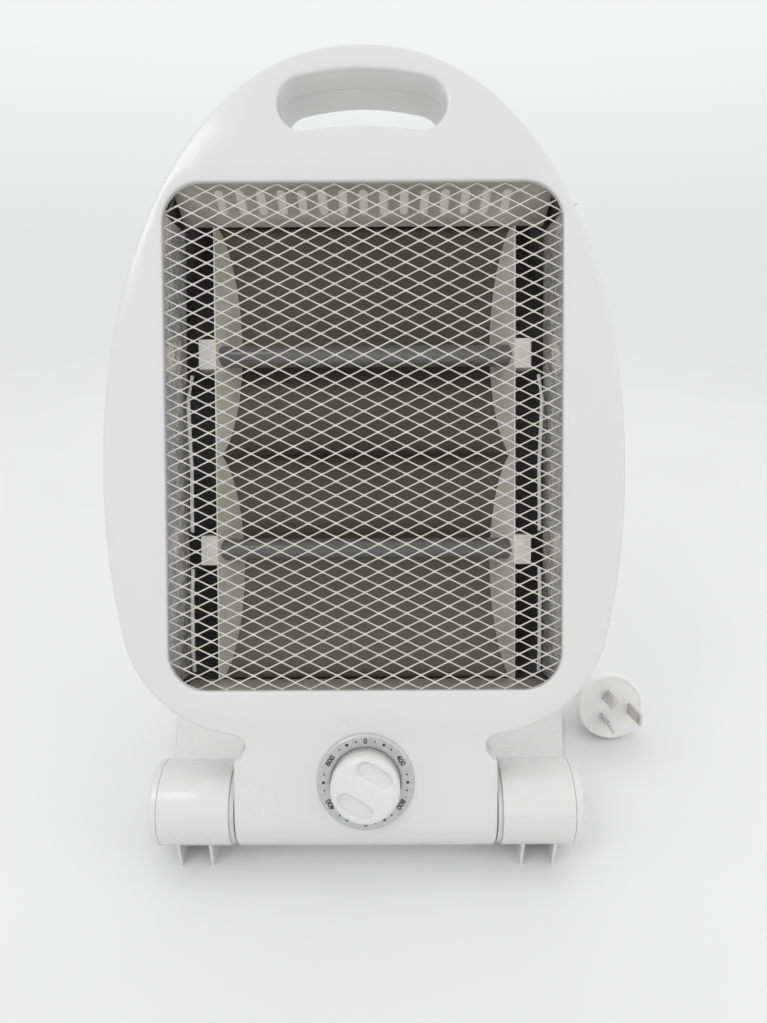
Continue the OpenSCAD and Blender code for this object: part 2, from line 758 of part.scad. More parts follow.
module lead_to_plug() {
  color("whitesmoke") on_stand() sweep(concat(to_plug, [plug_end]), lead_r, 10);
}

module plug_tail() {
  color("whitesmoke") at_plug() translate([0, 0, -plug_len - tail_len]) rotate_extrude($fn = 64)
    polygon([[0, 0], [4.1, 0], [5.6, tail_len - 2], [6.4, tail_len], [0, tail_len]]);
}

module plug_body() {
  color("whitesmoke") at_plug() translate([0, 0, -plug_len]) rotate_extrude($fn = 96)
    polygon([[0, 0], [8.6, 0], [9.4, 1], [10.4, 8], [12.6, 15], [16, 21], [18.2, 24.5], [19, 27],
      [19, 31.3], [18.3, 32], [0, 32]]);
}

module plug_pins() {
  color("silver") at_plug() rotate([0, 0, -5.5]) {
    for (s = [-1, 1]) rotate([0, 0, s * 120]) translate([7.92, 0, 0]) rotate([0, 0, s * 30])
      translate([-0.8, -3.175, 0.02]) cube([1.6, 6.35, 17]);
    translate([10.31 - 0.8, -3.175, 0.02]) cube([1.6, 6.35, 19.5]);
  }
}

front_shell();
rear_shell();
grille_mesh();
grille_rim();
reflector();
top_flange();
bottom_flange();
side_plate_left();
side_plate_right();
trough_end_left();
trough_end_right();
quartz_tube_upper();
quartz_tube_lower();
heating_coil_upper();
heating_coil_lower();
ceramic_cap_upper_left();
ceramic_cap_upper_right();
ceramic_cap_lower_left();
ceramic_cap_lower_right();
cap_screws();
tube_leads();
thermal_cutout();
terminal_block();
tip_over_switch();
rotary_switch();
switch_nut();
dial_ring();
knob();
switch_shaft();
barrel_bearing_left();
barrel_bearing_right();
case_screws();
reflector_posts();
reflector_screws();
stand_frame();
knuckle_cap_left();
knuckle_cap_right();
hinge_collar_left();
hinge_collar_right();
hinge_pin_left();
hinge_pin_right();
hinge_nuts();
spring_washers();
rubber_feet();
stand_lead();
lead_clips();
cord_gland();
lead_to_coil();
lead_coil();
coil_tie();
lead_to_plug();
plug_tail();
plug_body();
plug_pins();
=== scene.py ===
import json
from math import acos, asin, copysign, cos, pi, radians, sin, sqrt

import bmesh
import bpy
from mathutils import Matrix, Vector
from mathutils.geometry import delaunay_2d_cdt


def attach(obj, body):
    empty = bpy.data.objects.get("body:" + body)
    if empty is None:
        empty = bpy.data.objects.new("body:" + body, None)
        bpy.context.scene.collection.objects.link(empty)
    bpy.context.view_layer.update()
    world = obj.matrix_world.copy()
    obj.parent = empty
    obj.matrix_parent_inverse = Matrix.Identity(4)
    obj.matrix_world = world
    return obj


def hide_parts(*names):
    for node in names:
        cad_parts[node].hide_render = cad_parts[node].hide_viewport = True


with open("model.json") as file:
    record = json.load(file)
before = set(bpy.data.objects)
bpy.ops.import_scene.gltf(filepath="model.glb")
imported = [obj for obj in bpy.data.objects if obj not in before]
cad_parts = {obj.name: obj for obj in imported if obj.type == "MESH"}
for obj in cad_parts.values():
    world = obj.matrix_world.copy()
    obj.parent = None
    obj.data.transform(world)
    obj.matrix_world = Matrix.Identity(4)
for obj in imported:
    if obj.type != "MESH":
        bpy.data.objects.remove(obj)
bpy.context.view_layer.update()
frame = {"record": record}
joints = {j["name"]: j for j in frame["record"]["behaviour"]["joints"]}
axisPoint = joints["tilt_hinge"]["pos_m"]
lean = radians(18.5)     # the body leans back by this much in use
mm = 0.001


# Places: body sizes are drawn upright around the tilt axis, in millimetres, and then leaned back
def onBody(x, depth, z):
    return Vector((x * mm, axisPoint[1] + (depth * cos(lean) + z * sin(lean)) * mm,
                   axisPoint[2] + (z * cos(lean) - depth * sin(lean)) * mm))


def onStand(x, y, z):    # y counted from the tilt axis, z from the floor
    return Vector((x * mm, axisPoint[1] + y * mm, z * mm))


# Materials

def nodeTree(name):
    material = bpy.data.materials.new(name)
    material.use_nodes = True
    tree = material.node_tree
    return material, tree, tree.nodes["Principled BSDF"]


def noiseAt(tree, scale, detail=4.0, stretch=(1, 1, 1)):
    place = tree.nodes.new("ShaderNodeTexCoord")
    mapping = tree.nodes.new("ShaderNodeMapping")
    mapping.inputs["Scale"].default_value = stretch
    noise = tree.nodes.new("ShaderNodeTexNoise")
    noise.inputs["Scale"].default_value = scale
    noise.inputs["Detail"].default_value = detail
    noise.inputs["Roughness"].default_value = 0.55
    tree.links.new(place.outputs["Object"], mapping.inputs["Vector"])
    tree.links.new(mapping.outputs["Vector"], noise.inputs["Vector"])
    return noise.outputs["Fac"]


# Noise lies mostly between these two values
noiseLow, noiseHigh = 0.3, 0.7


def ramped(tree, source, low, high):
    ramp = tree.nodes.new("ShaderNodeValToRGB")
    ramp.color_ramp.elements[0].position = noiseLow
    ramp.color_ramp.elements[0].color = (*low, 1)
    ramp.color_ramp.elements[1].position = noiseHigh
    ramp.color_ramp.elements[1].color = (*high, 1)
    tree.links.new(source, ramp.inputs["Fac"])
    return ramp.outputs["Color"]


def ranged(tree, source, low, high):
    node = tree.nodes.new("ShaderNodeMapRange")
    node.inputs["From Min"].default_value = noiseLow
    node.inputs["From Max"].default_value = noiseHigh
    node.inputs["To Min"].default_value = low
    node.inputs["To Max"].default_value = high
    tree.links.new(source, node.inputs["Value"])
    return node.outputs["Result"]


def bumped(tree, shader, layers):
    normal = None
    for source, strength, distance in layers:
        bump = tree.nodes.new("ShaderNodeBump")
        bump.inputs["Strength"].default_value = strength
        bump.inputs["Distance"].default_value = distance
        tree.links.new(source, bump.inputs["Height"])
        if normal:
            tree.links.new(normal, bump.inputs["Normal"])
        normal = bump.outputs["Normal"]
    tree.links.new(normal, shader.inputs["Normal"])


# low and high are base colours, rough is a range, and each bump is (noise scale, strength, metres)
def finish(name, low, high, rough, scale=60, metallic=0.0, coat=0.0, bumps=((700, 0.12, 0.0002),),
           stretch=(1, 1, 1)):
    material, tree, shader = nodeTree(name)
    tone = noiseAt(tree, scale, stretch=stretch)
    tree.links.new(ramped(tree, tone, low, high), shader.inputs["Base Color"])
    patch = noiseAt(tree, scale * 3.1, detail=6, stretch=stretch)
    tree.links.new(ranged(tree, patch, *rough), shader.inputs["Roughness"])
    shader.inputs["Metallic"].default_value = metallic
    shader.inputs["IOR"].default_value = 1.5
    if coat:
        shader.inputs["Coat Weight"].default_value = coat
        shader.inputs["Coat Roughness"].default_value = 0.12
    bumped(tree, shader, [(noiseAt(tree, s, detail=3, stretch=stretch), strength, distance)
                          for s, strength, distance in bumps])
    return material


shellWhite = finish("glossyWhitePlastic", (0.695, 0.695, 0.69), (0.71, 0.71, 0.705), (0.22, 0.28), scale=9,
                    bumps=((38, 0.05, 0.0006), (1400, 0.06, 0.00006)), coat=0.25)
standWhite = finish("standWhitePlastic", (0.7, 0.7, 0.695), (0.715, 0.715, 0.71), (0.24, 0.32), scale=11,
                    bumps=((45, 0.05, 0.0005), (1300, 0.08, 0.00006)), coat=0.15)
collarGrey = finish("collarGreyPlastic", (0.6, 0.6, 0.6), (0.68, 0.68, 0.68), (0.35, 0.5), scale=80)
knobWhite = finish("knobWhitePlastic", (0.7, 0.7, 0.695), (0.73, 0.73, 0.725), (0.2, 0.3), scale=30,
                   bumps=((1500, 0.08, 0.00005),), coat=0.3)
dialSilver = finish("dialSilverPaint", (0.5, 0.5, 0.5), (0.62, 0.62, 0.62), (0.3, 0.42), scale=500,
                    metallic=0.6, bumps=((2500, 0.1, 0.00003),))
dialInk = finish("dialPrintedInk", (0.02, 0.02, 0.022), (0.045, 0.045, 0.05), (0.45, 0.6), scale=900)
grillePaint = finish("creamGrillePaint", (0.54, 0.53, 0.49), (0.64, 0.63, 0.59), (0.34, 0.5), scale=160,
                     bumps=((900, 0.25, 0.0001),), coat=0.1)
# Painted reflection: the polished reflector's base is painted near black, with broad lighter and darker
# patches, for the dark room it reflects
troughPaintedReflection = finish("reflectorSheet", (0.07, 0.068, 0.058), (0.18, 0.175, 0.148), (0.36, 0.5), scale=7,
                     metallic=0.75, bumps=((14, 0.2, 0.003), (800, 0.05, 0.00005)), stretch=(0.5, 1, 1))
linerSheet = finish("mirrorLinerSheet", (0.7, 0.7, 0.67), (0.98, 0.98, 0.95), (0.14, 0.34), scale=120,
                    metallic=0.45, bumps=((70, 0.6, 0.003), (260, 0.5, 0.0012)))
slotSheet = finish("slottedFlangeSheet", (0.55, 0.53, 0.48), (0.74, 0.72, 0.66), (0.3, 0.45), scale=24,
                   metallic=0.35, bumps=((40, 0.2, 0.001), (900, 0.05, 0.00005)))
endSheet = finish("troughEndSheet", (0.62, 0.6, 0.5), (0.94, 0.92, 0.84), (0.3, 0.45), scale=18,
                  metallic=0.2, bumps=((60, 0.15, 0.0008), (900, 0.05, 0.00005)))
ceramicWhite = finish("unglazedCeramic", (0.74, 0.71, 0.66), (0.84, 0.82, 0.78), (0.6, 0.8), scale=150,
                      bumps=((600, 0.3, 0.0002), (2600, 0.2, 0.00006)))
screwSteel = finish("zincPlatedSteel", (0.45, 0.45, 0.46), (0.62, 0.62, 0.62), (0.22, 0.38), scale=500,
                    metallic=1.0, bumps=((1500, 0.12, 0.00005),))
pinBrass = finish("nickelledBrassPin", (0.56, 0.55, 0.52), (0.68, 0.67, 0.62), (0.18, 0.3), scale=300,
                  metallic=1.0, bumps=((1200, 0.1, 0.00005),), stretch=(1, 0.2, 1))
wireSteel = finish("heatingWire", (0.2, 0.19, 0.18), (0.36, 0.34, 0.32), (0.4, 0.6), scale=700,
                   metallic=0.9, bumps=((3000, 0.2, 0.00003),))
leadWhite = finish("whiteLeadSheath", (0.64, 0.64, 0.635), (0.7, 0.7, 0.69), (0.42, 0.58),
                   bumps=((240, 0.1, 0.0003), (2200, 0.1, 0.00004)))
plugWhite = finish("mouldedPlugWhite", (0.83, 0.83, 0.825), (0.88, 0.88, 0.87), (0.35, 0.5), scale=40,
                   bumps=((900, 0.12, 0.00008),))
# Painted shade: the shells' white plastic inside, painted near black for the shade in the closed body
paintedShadeInside = finish("shadedShellInside", (0.05, 0.05, 0.048), (0.09, 0.09, 0.086), (0.5, 0.65))
# Painted light: the same white plastic as the shells, painted paler for the light on the wall seen through
# the slots
paintedLightSlotBack = finish("slotBackCream", (0.95, 0.93, 0.88), (0.98, 0.97, 0.93), (0.4, 0.55))
tieBlack = finish("blackTie", (0.02, 0.02, 0.02), (0.05, 0.05, 0.05), (0.45, 0.6), scale=300)
switchDark = finish("switchPhenolic", (0.03, 0.03, 0.035), (0.07, 0.07, 0.075), (0.4, 0.55), scale=200)
footRubber = finish("greyRubber", (0.09, 0.09, 0.09), (0.15, 0.15, 0.15), (0.7, 0.85), scale=300,
                    bumps=((900, 0.3, 0.0002),))


def quartzMaterial():    # milky fused quartz with faint draw lines along the tube
    material, tree, shader = nodeTree("milkyQuartz")
    streak = noiseAt(tree, 220, detail=5, stretch=(0.04, 1, 1))
    tone = ramped(tree, streak, (0.24, 0.24, 0.235), (0.36, 0.36, 0.355))
    tree.links.new(tone, shader.inputs["Base Color"])
    tree.links.new(ranged(tree, streak, 0.14, 0.3), shader.inputs["Roughness"])
    shader.inputs["IOR"].default_value = 1.46
    shader.inputs["Transmission Weight"].default_value = 0.55
    bumped(tree, shader, [(streak, 0.12, 0.0002)])
    return material


quartz = quartzMaterial()

# Camera

def placed(name, data):    # a new object in the scene
    item = bpy.data.objects.new(name, data)
    bpy.context.collection.objects.link(item)
    return item


view = {"x": 0.009, "behindAxis": -0.271, "height": 0.273, "pitch": 69.6, "roll": 0.28, "lens": 25.44}
camera = placed("camera", bpy.data.cameras.new("camera"))
camera.location = (view["x"], axisPoint[1] + view["behindAxis"], view["height"])
camera.rotation_euler = (radians(view["pitch"]), radians(view["roll"]), 0)
camera.data.sensor_fit = "VERTICAL"
camera.data.sensor_height = 36
camera.data.lens = view["lens"]
camera.data.clip_start = 0.01
bpy.context.scene.camera = camera


# Mesh helpers

def painted(mesh, material):
    mesh.materials.clear()
    mesh.materials.append(material)


def dressed(mesh, material, smoothAngle):
    painted(mesh, material)
    mesh.polygons.foreach_set("use_smooth", [True] * len(mesh.polygons))
    mesh.set_sharp_from_angle(angle=radians(smoothAngle))


def addObject(name, mesh, material, smoothAngle=38):
    dressed(mesh, material, smoothAngle)
    return placed(name, mesh)


def meshOf(name, bm):
    mesh = bpy.data.meshes.new(name)
    bm.to_mesh(mesh)
    bm.free()
    return mesh


def fromBmesh(name, bm, material, smoothAngle=38):
    bmesh.ops.remove_doubles(bm, verts=bm.verts, dist=2e-6)
    bmesh.ops.recalc_face_normals(bm, faces=bm.faces)
    return addObject(name, meshOf(name, bm), material, smoothAngle)


def baked(piece):    # what the piece looks like once its modifiers have run, as a plain mesh
    graph = bpy.context.evaluated_depsgraph_get()
    return bpy.data.meshes.new_from_object(piece.evaluated_get(graph))


def applied(piece):    # swaps the live modifiers for the mesh they make
    mesh = baked(piece)
    old = piece.data
    piece.modifiers.clear()
    piece.data = mesh
    mesh.name = piece.name
    if old.users == 0:
        bpy.data.meshes.remove(old)
    return piece


def settle(piece, body, slotName, *nodes):    # nodes are the frame pieces it takes the place of
    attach(piece, body)
    if nodes:
        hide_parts(*nodes)
    return piece


# A copy of a frame piece with its doubles merged and its edges rounded
def softened(node, name, material, body, slotName, width=0.5, segments=2, limit=35):
    bm = bmesh.new()
    bm.from_mesh(bpy.data.objects[node].data)
    bmesh.ops.remove_doubles(bm, verts=bm.verts, dist=2e-6)
    bmesh.ops.dissolve_limit(bm, angle_limit=radians(0.6), verts=bm.verts, edges=bm.edges)
    piece = addObject(name, meshOf(name, bm), material)
    if width:
        bevel = piece.modifiers.new("edge", "BEVEL")
        bevel.width = width * mm
        bevel.segments = segments
        bevel.limit_method = "ANGLE"
        bevel.angle_limit = radians(limit)
        applied(piece)
        piece.data.set_sharp_from_angle(angle=radians(38))
    return settle(piece, body, slotName, node)


def circleOf(r, sides):
    return [(r * cos(2 * pi * k / sides), r * sin(2 * pi * k / sides)) for k in range(sides)]


def loft(bm, rings, closed=True):    # quads between rings of the same length
    made = [[bm.verts.new(p) for p in ring] for ring in rings]
    for a, b in zip(made, made[1:]):
        n = len(a)
        for i in range(n if closed else n - 1):
            j = (i + 1) % n
            bm.faces.new((a[i], a[j], b[j], b[i]))
    return made


# The profile holds (radius, along) pairs, and place turns (across, up, along) into a point
def lathe(bm, profile, place, sides=96):
    rings = []
    for r, along in profile:
        if r < 1e-6:
            rings.append([place(0, 0, along)] * sides)
        else:
            rings.append([place(a, u, along) for a, u in circleOf(r, sides)])
    loft(bm, rings)


def cleaned(bm):
    bmesh.ops.remove_doubles(bm, verts=bm.verts, dist=2e-6)
    bmesh.ops.dissolve_degenerate(bm, edges=bm.edges, dist=1e-7)


def latheObject(name, profile, place, material, sides=96, smoothAngle=38):
    bm = bmesh.new()
    lathe(bm, profile, place, sides)
    cleaned(bm)
    return fromBmesh(name, bm, material, smoothAngle)


# Power lead, coiled behind the stand
leadSizes = {"diameter": 6.8, "glandX": -41.4, "glandZ": 6.2, "glandEnd": 139, "coilY": 182, "inner": 34.6,
             "outer": 41.4, "step": 6.8, "turns": 5.25, "stepSpan": 0.16, "pointsPerTurn": 36}
plugSizes = {"x": 140, "y": 83, "tilt": radians(16), "length": 32, "tail": 24}


def plugPoint(across, up, along):    # along runs out of the plug's face
    t = plugSizes["tilt"]
    z0 = 5 * sin(t) + 19 * cos(t)
    return onStand(plugSizes["x"] + across, plugSizes["y"] - along * cos(t) + up * sin(t),
                   z0 + along * sin(t) + up * cos(t))


def leadRoute():
    s = leadSizes
    low, mid, high = (s["step"] * k + s["diameter"] / 2 for k in range(3))
    first = [(s["glandX"], s["glandEnd"], s["glandZ"]), (s["glandX"], 145, 5.4), (s["glandX"], 152, 4.2),
             (s["glandX"], 160, 3.4), (s["glandX"], 172, 3.4)]
    slots = [(s["outer"], low), (s["inner"], low), (s["inner"], mid), (s["inner"], high),
             (s["outer"], high), (s["outer"], mid)]
    moves = [0.88, 1.72, 2.56, 3.40, 4.24]    # where the lead steps from one place in the coil to the next
    coil = []
    count = int(s["turns"] * s["pointsPerTurn"])
    for i in range(count + 1):
        t = s["turns"] * i / count
        k = sum(1 for m in moves if t > m)
        r, z = slots[k]
        for m, (a, b) in zip(moves, zip(slots, slots[1:])):
            u = (t - m) / s["stepSpan"] + 0.5
            if 0 < u < 1:
                u = u * u * (3 - 2 * u)
                r, z = a[0] + (b[0] - a[0]) * u, a[1] + (b[1] - a[1]) * u
        turn = pi - 2 * pi * t
        coil.append((r * cos(turn), s["coilY"] + r * sin(turn), z))
    last = [(15, 223.4, 9.8), (30, 223, 8), (45, 221.5, 6), (60, 219, 4.4), (75, 215, 3.5),
            (90, 209, 3.4), (104, 201, 3.4), (116, 191, 3.4), (126, 179, 3.4), (133, 166, 3.4),
            (137.5, 153, 3.4), (139.6, 144, 3.6)]
    route = [onStand(*p) for p in first + coil + last]
    route.append(plugPoint(0, 0, -plugSizes["length"] - plugSizes["tail"]))
    return route


def smoothed(points, each):    # Catmull-Rom points between the given ones
    out = []
    for i in range(len(points) - 1):
        p1, p2 = points[i], points[i + 1]
        p0, p3 = points[max(i - 1, 0)], points[min(i + 2, len(points) - 1)]
        for k in range(each):
            t = k / each
            out.append(0.5 * ((2 * p1) + (p2 - p0) * t + (2 * p0 - 5 * p1 + 4 * p2 - p3) * t * t
                              + (3 * p1 - p0 - 3 * p2 + p3) * t ** 3))
    out.append(points[-1])
    return out


def tubeAlong(name, points, radius, material):
    bm = bmesh.new()
    rings = []
    up = Vector((0, 0, 1))
    for i, p in enumerate(points):
        heading = (points[min(i + 1, len(points) - 1)] - points[max(i - 1, 0)]).normalized()
        side = heading.cross(up)
        if side.length < 1e-4:
            side = heading.cross(Vector((1, 0, 0)))
        side.normalize()
        top = side.cross(heading)
        rings.append([p + radius * (a * side + u * top) for a, u in circleOf(1, 14)])
    made = loft(bm, rings)
    bm.faces.new(made[0])
    bm.faces.new(made[-1])
    return fromBmesh(name, bm, material, 60)


leadPath = smoothed(leadRoute(), 2)
powerLead = tubeAlong("powerLead", leadPath, leadSizes["diameter"] / 2 * mm, leadWhite)


def plugPieces():
    profile = [(0, -32), (8.4, -32), (8.9, -31.6), (9.4, -30.6), (10, -27), (10.9, -23.5), (12.4, -18),
               (14.2, -14), (16.2, -11), (17.9, -8.2), (18.7, -6.2), (19, -4.4), (19, -1.3), (18.85, -0.6),
               (18.5, -0.2), (17.9, 0), (16.8, 0), (16.5, -0.25), (16.2, -0.3), (0, -0.3)]
    body = latheObject("plugBody", profile, plugPoint, plugWhite, 96, 50)
    tail = [(0, -56), (4.1, -56)]
    for k in range(7):    # ribbed strain relief
        z = -55 + k * 3.1
        r = 4.2 + k * 0.27
        tail += [(r, z), (r + 0.35, z + 0.5), (r + 0.4, z + 1.4), (r + 0.1, z + 1.9), (r - 0.2, z + 2.1),
                 (r - 0.2, z + 2.9)]
    tail += [(6.2, -33.2), (6.4, -32), (0, -32)]
    relief = latheObject("plugStrainRelief", tail, plugPoint, plugWhite, 48, 50)
    pins = softened("plug_pins", "plugPins", pinBrass, "stand", "brass", 0.35, 3)
    return [settle(body, "stand", "white_lead", "plug_body"),
            settle(relief, "stand", "white_lead", "plug_tail"), pins]


plug = plugPieces()
glandProfile = [(0, 111), (3.6, 111), (3.7, 113.1), (6.1, 113.2), (6.35, 113.6), (6.35, 115.4),
                (6.0, 116), (5.5, 116.2), (5.5, 118), (5.0, 118.3), (5.0, 119.3), (5.3, 119.6),
                (5.25, 121.4), (4.8, 121.7), (4.8, 122.7), (5.05, 123), (5.0, 124.8), (4.6, 125.1),
                (4.6, 126.1), (4.85, 126.4), (4.75, 128.2), (4.3, 128.5), (4.3, 129.5), (4.5, 129.8),
                (4.4, 131.6), (4.0, 132), (3.95, 138.4), (3.8, 139), (0, 139)]
gland = latheObject("cordGland", glandProfile,
                    lambda a, u, along: onStand(leadSizes["glandX"] + a, along, leadSizes["glandZ"] + u),
                    leadWhite, 48, 50)
settle(gland, "stand", "white_lead", "cord_gland")
tie = softened("coil_tie", "coilTie", tieBlack, "stand", "dark_plastic", 0.3)
settle(powerLead, "stand", "white_lead", "lead_to_coil", "lead_coil", "lead_to_plug")


# Outlines of the body, in millimetres as (across, up)
egg = {"width": 229, "top": 337.5, "widest": 150, "power": 2.13, "sideRound": 320, "sideTurn": 12.5,
       "shoulder": 56, "steps": 44}
neck = {"half": 58.7, "corner": 24.0, "cornerRound": 2.4, "notchX": 58.5, "notchZ": 31.8, "notchRound": 5}
opening = {"width": 174, "low": 57, "high": 279, "round": 17}


def eggSide(inset=0.0, top=None, power=None):    # the right side, from the lower shoulder to the top
    top = egg["top"] if top is None else top
    power = power or egg["power"]
    half = egg["width"] / 2
    turn = radians(egg["sideTurn"])
    sideX = half - egg["sideRound"]
    roundX = sideX + (egg["sideRound"] - egg["shoulder"]) * cos(turn)
    roundZ = egg["widest"] - (egg["sideRound"] - egg["shoulder"]) * sin(turn)
    shoulder = egg["shoulder"] - inset
    points = []
    for i in range(29):
        a = -pi / 2 + i * (pi / 2 - turn) / 28
        points.append((roundX + shoulder * cos(a), roundZ + shoulder * sin(a)))
    for i in range(1, 13):
        a = -turn + i * turn / 12
        points.append((sideX + (egg["sideRound"] - inset) * cos(a),
                       egg["widest"] + (egg["sideRound"] - inset) * sin(a)))
    for i in range(1, egg["steps"] + 1):
        a = i * pi / 2 / egg["steps"]
        points.append(((half - inset) * max(cos(a), 0) ** (2 / power),
                       egg["widest"] + (top - inset - egg["widest"]) * sin(a) ** (2 / power)))
    return points


def mirrored(side):    # the right side and its mirror image, going round anticlockwise
    return side + [(-x, z) for x, z in reversed(side) if x > 1e-6]


def bodyOutline(bottom):    # neck with its notches, then the egg; open at the bottom edge
    n = neck
    side = [(n["half"], bottom), (n["half"], (bottom + n["corner"]) / 2)]
    for i in range(6):    # small round where the neck meets the notch
        a = i * pi / 10
        side.append((n["half"] - n["cornerRound"] + n["cornerRound"] * cos(a),
                     n["corner"] + n["cornerRound"] * sin(a)))
    for i in range(1, 16):
        a = radians(-118 - 152 * i / 16)
        side.append((n["notchX"] + n["notchRound"] * cos(a), n["notchZ"] + n["notchRound"] * sin(a)))
    side += [p for p in eggSide() if p[0] > 60 or p[1] > egg["widest"]]
    return mirrored(side)


def offsetLoop(points, inward, closed=True):    # moves each point along its own normal; positive goes inwards
    n = len(points)
    out = []
    for i, p in enumerate(points):
        a = points[(i - 1) % n] if closed or i else p
        b = points[(i + 1) % n] if closed or i < n - 1 else p
        dx, dz = b[0] - a[0], b[1] - a[1]
        size = sqrt(dx * dx + dz * dz) or 1
        out.append((p[0] - dz / size * inward, p[1] + dx / size * inward))
    return out


def roundedBox(width, low, high, corner, steps=12):    # anticlockwise from the lower right
    points = []
    for cx, cz, start in ((width / 2 - corner, low + corner, -90), (width / 2 - corner, high - corner, 0),
                          (-width / 2 + corner, high - corner, 90), (-width / 2 + corner, low + corner, 180)):
        for i in range(steps + 1):
            a = radians(start + 90 * i / steps)
            points.append((cx + corner * cos(a), cz + corner * sin(a)))
    return points


handle = {"x": 25, "z": 312, "round": 11.7, "top": 326.6, "lowRound": 150, "low": 9.3}


def handleHole(steps=40):    # kidney-shaped finger hole, anticlockwise from its right end
    h = handle
    reach = h["x"] + h["round"]
    upper, lower = [], []
    for i in range(steps + 1):
        x = reach * cos(pi * i / steps)
        side = abs(x) - h["x"]
        endArc = sqrt(max(h["round"] ** 2 - side * side, 0)) if side > 0 else h["round"]
        lowArc = h["z"] - h["low"] - h["lowRound"] + sqrt(h["lowRound"] ** 2 - x * x)
        crown = (h["top"] - h["z"] - h["round"]) * (1 - (x / h["x"]) ** 2)
        top = h["z"] + endArc if side > 0 else h["z"] + h["round"] + crown
        upper.append((x, top))
        lower.append((-x, max(lowArc, h["z"] - endArc)))
    points = upper[:-1] + lower[:-1]
    for _ in range(3):    # eases the corners
        n = len(points)
        points = [((points[i - 1][0] + 2 * p[0] + points[(i + 1) % n][0]) / 4,
                   (points[i - 1][1] + 2 * p[1] + points[(i + 1) % n][1]) / 4) for i, p in enumerate(points)]
    return points


def layer(points, depth):
    return [onBody(x, depth, z) for x, z in points]


def fillBetween(bm, loops):    # flat face between closed loops of vertices, the first one outside
    verts = [v for loop in loops for v in loop]
    tilt = Vector((0, sin(lean), cos(lean)))
    flat = [Vector((v.co.x, v.co.dot(tilt))) for v in verts]
    edges, start = [], 0
    for loop in loops:
        n = len(loop)
        edges += [(start + i, start + (i + 1) % n) for i in range(n)]
        start += n
    points, _, faces, origins, _, _ = delaunay_2d_cdt(flat, edges, [], 1, 1e-7)
    for face in faces:
        middle = sum((points[i] for i in face), Vector((0, 0))) / len(face)
        crossings = 0
        for a, b in edges:
            p, q = flat[a], flat[b]
            if (p.y > middle.y) != (q.y > middle.y):
                crossings += middle.x < p.x + (middle.y - p.y) * (q.x - p.x) / (q.y - p.y)
        if crossings % 2 and all(origins[i] for i in face):
            corners = [verts[origins[i][0]] for i in face]
            if len(set(corners)) == 3 and not bm.faces.get(corners):
                bm.faces.new(corners)


def walled(piece, thick=1.6):    # gives a moulded skin its wall, inwards, with its inner face painted dark as painted shade
    piece.data.materials.append(paintedShadeInside)
    modifier = piece.modifiers.new("wall", "SOLIDIFY")
    modifier.thickness = thick * mm
    modifier.offset = -1
    modifier.material_offset = 1
    modifier.material_offset_rim = 0
    applied(piece)
    piece.data.set_sharp_from_angle(angle=radians(40))
    return piece


frontFace = -19.0    # depth of the flat front, in line with the barrel
partDepth = -3.0     # joint between the two shells
barrelRadius = 19.0


def barrelRings(start, stop, steps):    # part of the tilt barrel, angles counted from the front
    half, radius = neck["half"], barrelRadius
    section = [(-half, 13), (-half, radius - 1.8), (-half + 0.15, radius - 1.1), (-half + 0.6, radius - 0.45),
               (-half + 1.1, radius - 0.12), (-half + 1.8, radius)]
    section += [(-half + 1.8 + (2 * half - 3.6) * k / 12, radius) for k in range(1, 12)]
    section += [(-x, r) for x, r in reversed(section[:6])]
    rings = []
    for i in range(steps + 1):
        a = start + (stop - start) * i / steps
        rings.append([onBody(x, -r * cos(a), -r * sin(a)) for x, r in section])
    return rings


def frontShell():
    bm = bmesh.new()
    outline = bodyOutline(0)
    rings = [layer(offsetLoop(outline, inset, False), depth) for depth, inset in
             ((frontFace, 1.8), (-18.88, 1.15), (-18.55, 0.6), (-18.0, 0.2), (-17.2, 0), (-12, 0), (-7, 0),
              (partDepth - 0.75, 0), (partDepth - 0.45, 0.1), (partDepth - 0.3, 0.4))]
    rings[0][0] = onBody(neck["half"] - 1.8, frontFace, 0)
    rings[0][-1] = onBody(-neck["half"] + 1.8, frontFace, 0)
    skirt = loft(bm, rings, closed=False)
    window = roundedBox(opening["width"], opening["low"], opening["high"], opening["round"])
    frames = [skirt[0]]
    windowWall = ((frontFace, -1.1), (-18.85, -0.55), (-18.5, -0.15), (-18, 0), (-16.6, 0))
    handleWall = ((frontFace, -1.6), (-18.85, -0.95), (-18.45, -0.4), (-17.8, -0.1), (-17, 0), (-12, 0),
                  (-7, 0), (partDepth - 0.2, 0))
    for hole, profile in ((window, windowWall), (handleHole(), handleWall)):
        made = loft(bm, [layer(offsetLoop(hole, grow), depth) for depth, grow in profile])
        frames.append(made[0])
    fillBetween(bm, frames)
    seam = 0.018    # the angle left open between the two halves of the barrel
    loft(bm, barrelRings(0, acos(-partDepth / barrelRadius) - seam, 18), closed=False)
    return walled(fromBmesh("frontShell", bm, shellWhite, 40))


def limited(side, edge):    # keeps a side inside another one, measured across
    out = []
    for x, z in side:
        for (ax, az), (bx, bz) in zip(edge, edge[1:]):
            if az <= z < bz:
                x = min(x, ax + (bx - ax) * (z - az) / (bz - az))
        out.append((x, z))
    return out


ventSizes = {"x": 34, "width": 4.8, "corner": 2.39,
             "rows": {206: 24, 221: 24, 236: 24, 251: 19, 92: 24, 107: 24, 122: 24}}    # height: half length
wellSizes = {"x": 66, "heights": (108.75, 216), "radius": 3.2}


